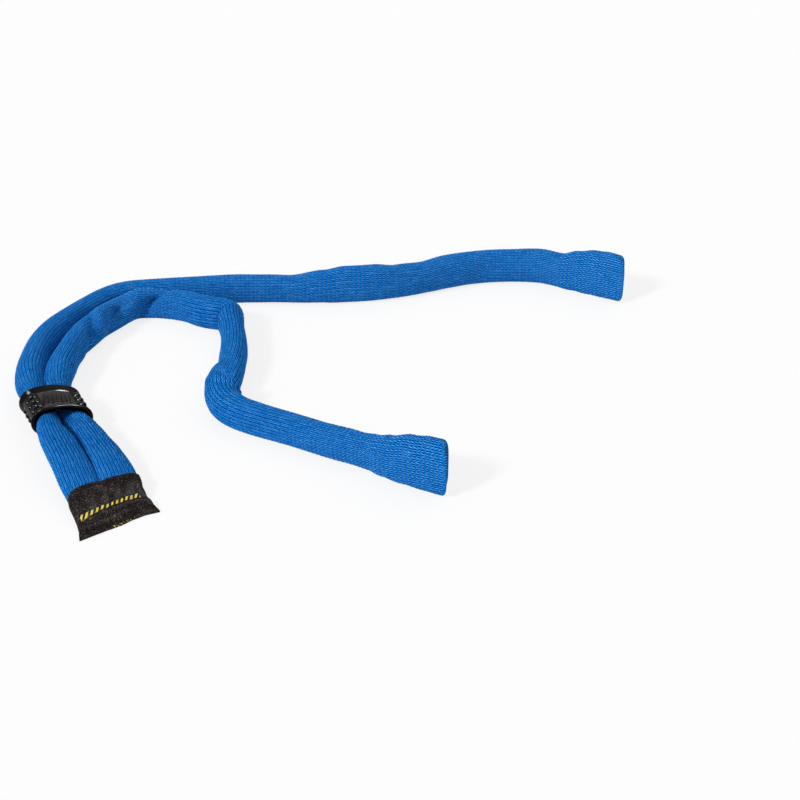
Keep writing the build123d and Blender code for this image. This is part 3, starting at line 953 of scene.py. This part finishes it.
class RetainerTag(bpy.types.PropertyGroup):
    """Sizes and colours of the woven tag"""

    sheet: size_property("Sheet", "Thickness of the woven label", 0.36)
    crown: size_property("Crown", "Height of the label over the tube ends", 5.5)
    valley: size_property("Valley", "Height of the label just past the tube ends", 1.8)
    ridge: size_property("Ridge", "Height of the soft fold below the woven marks", 3.5)
    mark_pitch: size_property("Mark Pitch", "Between the woven marks", 1.45)
    ground_colour: colour_property("Ground", "Warp and weft of the label", "#1A1513")
    mark_colour: colour_property("Marks", "The yarn of the woven marks", "#F4DC52")


def profile_at(places, table):
    return np.interp(places, [p[0] for p in table], [p[1] for p in table])


def tag_point(down, edge, tag):
    """Place on the label: down from its top edge, edge from -1 to 1 across. Gives along,
    across, and the heights of the front and back sheets."""
    left, right = profile_at(down, TAG_LEFT_EDGE), profile_at(down, TAG_RIGHT_EDGE)
    across = (left + right) / 2 + (right - left) / 2 * edge
    along = TAG_TOP + down / TAG_DEPTH * profile_at(across, TAG_REACH)
    along += 0.4 * np.abs(edge) ** 5 * np.clip(1 - down / 6, 0, 1)

    # The tube ends fill the label as far as the valley; past it runs one soft ridge.
    valley_at = VALLEY_AT + VALLEY_LEFT_DROP * np.clip(-edge, 0, 1) ** 1.5
    valley_at = valley_at + VALLEY_RIGHT_DROP * np.clip(edge, 0, 1)
    crown, valley, ridge = tag.crown / MM, tag.valley / MM, tag.ridge / MM
    fall = np.clip(down / valley_at, 0, 1)
    full = valley + (crown - valley) * (1 - fall ** 2.2)
    past = np.clip((down - valley_at) / (TAG_DEPTH - valley_at), 0, 1)
    rise = np.sin(math.pi * np.clip(past / RIDGE_END, 0, 1)) ** 2 * (ridge - valley)
    closed = TAG_BACK + tag.sheet / MM * 1.1
    settle = valley + (closed - valley) * past ** 1.6
    side_top = np.where(down < valley_at, full, settle)
    top = side_top + rise

    power = TAG_PUFF - 0.8 * np.clip(down / 9, 0, 1)
    arch = np.clip(1 - np.abs(edge) ** power, 0, 1) ** (1 / power)
    middle = 0.45 * side_top
    front = middle + (top - middle) * arch
    front -= TAG_GROOVE * np.exp(-(edge / 0.12) ** 2) * np.clip(1 - down / 8, 0, 1)
    ripple = TAG_RIPPLE * np.sin(1.7 * across + 0.7 * down)
    front += ripple * np.clip(down / 5, 0, 1) * arch
    back = middle + (TAG_BACK - middle) * arch
    front = np.maximum(front, back + closed - TAG_BACK)
    return along, across, front, back


def woven_label(tag, material):
    """One strip of label, folded at the bottom, with its sides closed together."""
    rows = 2 * TAG_ROWS + TAG_NOSE_ROWS
    bm, column, row = flat_grid(TAG_COLUMNS, rows)
    spread = np.sin(math.pi * (column / TAG_COLUMNS - 0.5))
    edge = 0.5 * spread + (column / TAG_COLUMNS - 0.5)
    down = np.clip(np.minimum(row, rows - row) / TAG_ROWS, 0, 1) * TAG_DEPTH
    along, across, front, back = tag_point(down, edge, tag)
    on_front = row <= rows / 2
    nose = (row > TAG_ROWS) & (row < rows - TAG_ROWS)
    turn = np.clip((row - TAG_ROWS) / TAG_NOSE_ROWS, 0, 1) * math.pi
    radius = (front - back) / 2
    along = along + np.where(nose, radius * np.sin(turn), 0)
    height = np.where(on_front, front, back)
    height = np.where(nose, back + radius * (1 + np.cos(turn)), height)
    for vert, a, c, h in zip(bm.verts, along, across, height):
        vert.co = tail_point(a, c, h) * MM
    lay_map(bm, "weave", across, np.where(on_front, down, 2 * TAG_DEPTH - down))
    label = finish_mesh(bm, "woven_tag", [material])
    wall = label.modifiers.new("sheet", "SOLIDIFY")
    wall.thickness = tag.sheet
    wall.offset = 0
    return label


def label_material(tag):
    """Damask label in black polyester satin: close twill, stray light fibres, and a row of
    plain slanted marks woven in."""
    material, tree, shader = new_material("black_satin_label")
    uv = node(tree, "ShaderNodeUVMap", uv_map="weave")
    place = node(tree, "ShaderNodeSeparateXYZ", {0: (uv, 0)})
    coords = node(tree, "ShaderNodeTexCoord")

    # The twill is drawn coarser than the real 0.2 mm, so that its lines show.
    warp = node(tree, "ShaderNodeMath", {0: (place, 0), 1: TWILL_ACROSS},
                operation="MULTIPLY")
    weft = node(tree, "ShaderNodeMath", {0: (place, 1), 1: TWILL_DOWN, 2: (warp, 0)},
                operation="MULTIPLY_ADD")
    twill = node(tree, "ShaderNodeMath", {0: (weft, 0), 1: 0.5}, operation="PINGPONG")
    lint = node(tree, "ShaderNodeTexNoise", {"Vector": (coords, "Object"),
                                             "Scale": FIBRE_SCALE, "Detail": 1.0})
    cloud = node(tree, "ShaderNodeTexNoise", {"Vector": (coords, "Object"),
                                              "Scale": LABEL_CLOUD_SCALE, "Detail": 2.0})
    tone = node(tree, "ShaderNodeMath", {0: (twill, 0), 1: 0.35, 2: -0.2},
                operation="MULTIPLY_ADD")
    for source, weight in ((lint, 0.9), (cloud, 0.35)):
        tone = node(tree, "ShaderNodeMath", {0: (source, 0), 1: weight, 2: (tone, 0)},
                    operation="MULTIPLY_ADD")
    ground = node(tree, "ShaderNodeValToRGB", {0: (tone, 0)})
    base = tuple(tag.ground_colour)
    colour_steps(ground, (
        (0.3, (*(c * 0.35 for c in base[:3]), 1.0)), (0.56, base), (0.8, colour("#665C58")),
    ))

    # The row of marks follows the valley; each mark leans like a stroke of writing.
    lean = node(tree, "ShaderNodeMath", {0: (place, 1), 1: WOVEN_LEAN, 2: (place, 0)},
                operation="MULTIPLY_ADD")
    beat = node(tree, "ShaderNodeMath", {0: (lean, 0), 1: MM / tag.mark_pitch},
                operation="MULTIPLY")
    part = node(tree, "ShaderNodeMath", {0: (beat, 0)}, operation="FRACT")
    stroke = node(tree, "ShaderNodeMath", {0: (part, 0), 1: WOVEN_SHARE}, operation="LESS_THAN")
    left = node(tree, "ShaderNodeMapRange", {0: (place, 0), 1: -10.0, 2: 0.0, 3: 1.0, 4: 0.0},
                interpolation_type="SMOOTHSTEP")
    middle = node(tree, "ShaderNodeMath", {0: (left, 0), 1: WOVEN_ROW[1], 2: WOVEN_ROW[0]},
                  operation="MULTIPLY_ADD")
    half = node(tree, "ShaderNodeMath", {0: (left, 0), 1: WOVEN_HALF[1], 2: WOVEN_HALF[0]},
                operation="MULTIPLY_ADD")
    band = node(tree, "ShaderNodeMath", {0: (place, 1), 1: (middle, 0), 2: (half, 0)},
                operation="COMPARE")
    reach = node(tree, "ShaderNodeMath", {0: (place, 0), 1: WOVEN_SPAN[0], 2: WOVEN_SPAN[1]},
                 operation="COMPARE")
    row = node(tree, "ShaderNodeMath", {0: (band, 0), 1: (reach, 0)}, operation="MULTIPLY")
    marks = node(tree, "ShaderNodeMath", {0: (row, 0), 1: (stroke, 0)}, operation="MULTIPLY")
    # A second, mostly hidden row turns under at the fold and shows as a few flecks.
    fold = node(tree, "ShaderNodeMath", {0: (place, 1), 1: TAG_DEPTH, 2: FLECK_HALF},
                operation="COMPARE")
    flecks = node(tree, "ShaderNodeMath", {0: (place, 0), 1: FLECK_SPAN[0], 2: FLECK_SPAN[1]},
                  operation="COMPARE")
    sparse = node(tree, "ShaderNodeMath", {0: (lint, 0), 1: FLECK_SHARE},
                  operation="GREATER_THAN")
    edge = node(tree, "ShaderNodeMath", {0: (fold, 0), 1: (flecks, 0)}, operation="MULTIPLY")
    edge = node(tree, "ShaderNodeMath", {0: (edge, 0), 1: (sparse, 0)}, operation="MULTIPLY")
    yellow = node(tree, "ShaderNodeMath", {0: (marks, 0), 1: (edge, 0)}, operation="MAXIMUM")
    mixed = node(tree, "ShaderNodeMix", {0: (yellow, 0), 6: (ground, 0),
                                         7: tuple(tag.mark_colour)}, data_type="RGBA")
    tree.links.new(mixed.outputs[2], shader.inputs["Base Color"])
    bump = node(tree, "ShaderNodeBump", {"Height": (tone, 0), "Strength": 0.5,
                                         "Distance": 0.00012})
    tree.links.new(bump.outputs[0], shader.inputs["Normal"])
    shader.inputs["Roughness"].default_value = 0.42
    shader.inputs["Specular IOR Level"].default_value = 0.015
    return material


def thread_material():
    """Spun polyester sewing thread: black, with the slant of its plies."""
    material, tree, shader = new_material("spun_polyester_thread")
    coords = node(tree, "ShaderNodeTexCoord")
    plies = node(tree, "ShaderNodeTexWave", {"Vector": (coords, "Object"),
                                             "Scale": PLY_SCALE, "Distortion": 1.0})
    tone = node(tree, "ShaderNodeValToRGB", {0: (plies, 0)})
    colour_steps(tone, ((0.0, colour("#151213")), (1.0, colour("#332E2E"))))
    tree.links.new(tone.outputs[0], shader.inputs["Base Color"])
    bump = node(tree, "ShaderNodeBump", {"Height": (plies, 0), "Strength": 0.4,
                                         "Distance": 0.0001})
    tree.links.new(bump.outputs[0], shader.inputs["Normal"])
    shader.inputs["Roughness"].default_value = 0.6
    shader.inputs["Specular IOR Level"].default_value = 0.0
    return material


def tag_stitches(tag, material):
    """Lock stitches across the label, just below its top edge."""
    bm = bmesh.new()
    for number in range(STITCH_COUNT):
        middle = -STITCH_REACH + 2 * STITCH_REACH * number / (STITCH_COUNT - 1)
        verts = bmesh.ops.create_uvsphere(bm, u_segments=10, v_segments=12, radius=0.5)["verts"]
        for vert in verts:
            x, y, z = vert.co
            edge = np.array(middle + z * STITCH_HALF_LENGTH)
            along, across, front, _ = tag_point(np.array(STITCH_INSET), edge, tag)
            bow = STITCH_BOW * math.cos(math.pi * z)
            height = float(front) + tag.sheet / MM / 2 + x * 0.26 + bow
            vert.co = tail_point(float(along) + y * 0.3, float(across), height) * MM
    return finish_mesh(bm, "tag_lock_stitches", [material])


class RETAINER_OT_tag(bpy.types.Operator):
    """Folds the woven label over the tube ends and sews it"""

    bl_idname = "retainer.tag"
    bl_label = "Woven Tag"

    def execute(self, context):
        tag = context.scene.retainer_tag
        label = woven_label(tag, label_material(tag))
        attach(label, "strap")
        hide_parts("tag")
        stitches = tag_stitches(tag, thread_material())
        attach(stitches, "strap")
        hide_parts("tag_stitching")
        return {"FINISHED"}


# ---- stage ------------------------------------------------------------------------------

FLOOR_HALF = 1.5                # metres
FLOOR_WHITE = 0.8               # share of the floor that shows plain white to the camera


class RetainerStage(bpy.types.PropertyGroup):
    """Light of the stage"""

    sky: strength_property("Sky", "Even light from all round", 0.43)
    key: strength_property("Key", "Strength of the main lamp", 2.15)
    fill: strength_property("Fill", "Strength of the second lamp", 0.55)
    glint: strength_property("Glint", "Lamps that show as highlights on gloss only", 8.0)
    floor_colour: colour_property("Floor", "Of the paper that the strap lies on", "#F6F6F6")


def seen_share(tree, share):
    """Strength with which a white background shows to the camera, in gloss and through glass."""
    path = node(tree, "ShaderNodeLightPath")
    glossy = node(tree, "ShaderNodeMath", {0: (path, "Is Camera Ray"),
                                           1: (path, "Is Glossy Ray")}, operation="MAXIMUM")
    seen = node(tree, "ShaderNodeMath", {0: (glossy, 0), 1: (path, "Is Transmission Ray")},
                operation="MAXIMUM")
    return node(tree, "ShaderNodeMath", {0: (seen, 0), 1: share}, operation="MULTIPLY")


class RETAINER_OT_stage(bpy.types.Operator):
    """Adds the pale floor, the soft light and the camera"""

    bl_idname = "retainer.stage"
    bl_label = "Stage"

    def execute(self, context):
        stage = context.scene.retainer_stage
        bm = bmesh.new()
        bmesh.ops.create_grid(bm, x_segments=1, y_segments=1, size=FLOOR_HALF)
        material, tree, shader = new_material("matt_white_paper")
        shader.inputs["Base Color"].default_value = stage.floor_colour
        shader.inputs["Roughness"].default_value = 0.9
        shader.inputs["Specular IOR Level"].default_value = 0.0
        share = seen_share(tree, FLOOR_WHITE)
        white = node(tree, "ShaderNodeEmission", {"Color": (1, 1, 1, 1), "Strength": 1.0})
        mix = node(tree, "ShaderNodeMixShader", {0: (share, 0), 1: (shader, 0), 2: (white, 0)})
        tree.links.new(mix.outputs[0], tree.nodes["Material Output"].inputs[0])
        floor = finish_mesh(bm, "floor", [material], smooth=False)

        world = bpy.data.worlds.new("studio")
        context.scene.world = world
        world.use_nodes = True
        tree = world.node_tree
        background = tree.nodes["Background"]
        background.inputs["Color"].default_value = (1, 1, 1, 1)
        background.inputs["Strength"].default_value = stage.sky
        white = node(tree, "ShaderNodeBackground", {"Color": (1, 1, 1, 1), "Strength": 1.0})
        mix = node(tree, "ShaderNodeMixShader", {0: (seen_share(tree, 1.0), 0),
                                                 1: (background, 0), 2: (white, 0)})
        tree.links.new(mix.outputs[0], tree.nodes["World Output"].inputs[0])

        for name, strength, softness, direction in (
            ("key", stage.key, 10.0, (-0.5, -1.1, 0.95)),
            ("fill", stage.fill, 60.0, (0.4, 0.5, 1.0)),
            ("glint", stage.glint, 20.0, (-0.3, -0.25, 0.95)),
            ("rim glint", stage.glint, 16.0, (0.55, 0.15, 0.8)),
            ("rib glint", stage.glint, 14.0, (0.45, 0.5, 0.7)),
        ):
            lamp = bpy.data.lights.new(name, "SUN")
            lamp.energy = strength
            lamp.angle = math.radians(softness)
            holder = bpy.data.objects.new(name, lamp)
            holder.rotation_euler = Vector(direction).to_track_quat("Z", "Y").to_euler()
            holder.visible_diffuse = "glint" not in name      # these show on gloss only
            context.scene.collection.objects.link(holder)

        lens = bpy.data.cameras.new("camera")
        lens.lens = CAMERA_LENS
        lens.sensor_width = SENSOR
        lens.clip_start = 0.01
        camera = bpy.data.objects.new("camera", lens)
        camera.location = CAMERA_AT
        tilt = math.radians(90 - CAMERA_ELEVATION)
        camera.rotation_euler = (tilt, 0, math.radians(CAMERA_AZIMUTH))
        context.scene.collection.objects.link(camera)
        context.scene.camera = camera
        context.scene.view_settings.view_transform = "Standard"
        return {"FINISHED"}


# ---- add-on -----------------------------------------------------------------------------

class RETAINER_PT_sidebar(bpy.types.Panel):
    """The retainer's pieces and their settings"""

    bl_label = "Eyewear Retainer"
    bl_idname = "RETAINER_PT_sidebar"
    bl_space_type = "VIEW_3D"
    bl_region_type = "UI"
    bl_category = "Retainer"

    def draw(self, context):
        for operator, group in (
            ("retainer.stage", "retainer_stage"),
            ("retainer.tubes", "retainer_knit"),
            ("retainer.slider", "retainer_slider"),
            ("retainer.tag", "retainer_tag"),
        ):
            box = self.layout.box()
            box.operator(operator)
            settings = getattr(context.scene, group)
            for name in settings.__annotations__:
                box.prop(settings, name)


GROUPS = {
    "retainer_knit": RetainerKnit,
    "retainer_slider": RetainerSlider,
    "retainer_tag": RetainerTag,
    "retainer_stage": RetainerStage,
}
CLASSES = (
    *GROUPS.values(),
    RETAINER_OT_tubes,
    RETAINER_OT_slider,
    RETAINER_OT_tag,
    RETAINER_OT_stage,
    RETAINER_PT_sidebar,
)


def register():
    for cls in CLASSES:
        bpy.utils.register_class(cls)
    for name, group in GROUPS.items():
        setattr(bpy.types.Scene, name, PointerProperty(type=group))


def unregister():
    for name in GROUPS:
        delattr(bpy.types.Scene, name)
    for cls in reversed(CLASSES):
        bpy.utils.unregister_class(cls)


def main():
    register()
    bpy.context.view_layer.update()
    bpy.ops.retainer.stage()
    bpy.ops.retainer.tubes()
    bpy.ops.retainer.slider()
    bpy.ops.retainer.tag()


if __name__ == "__main__":
    main()
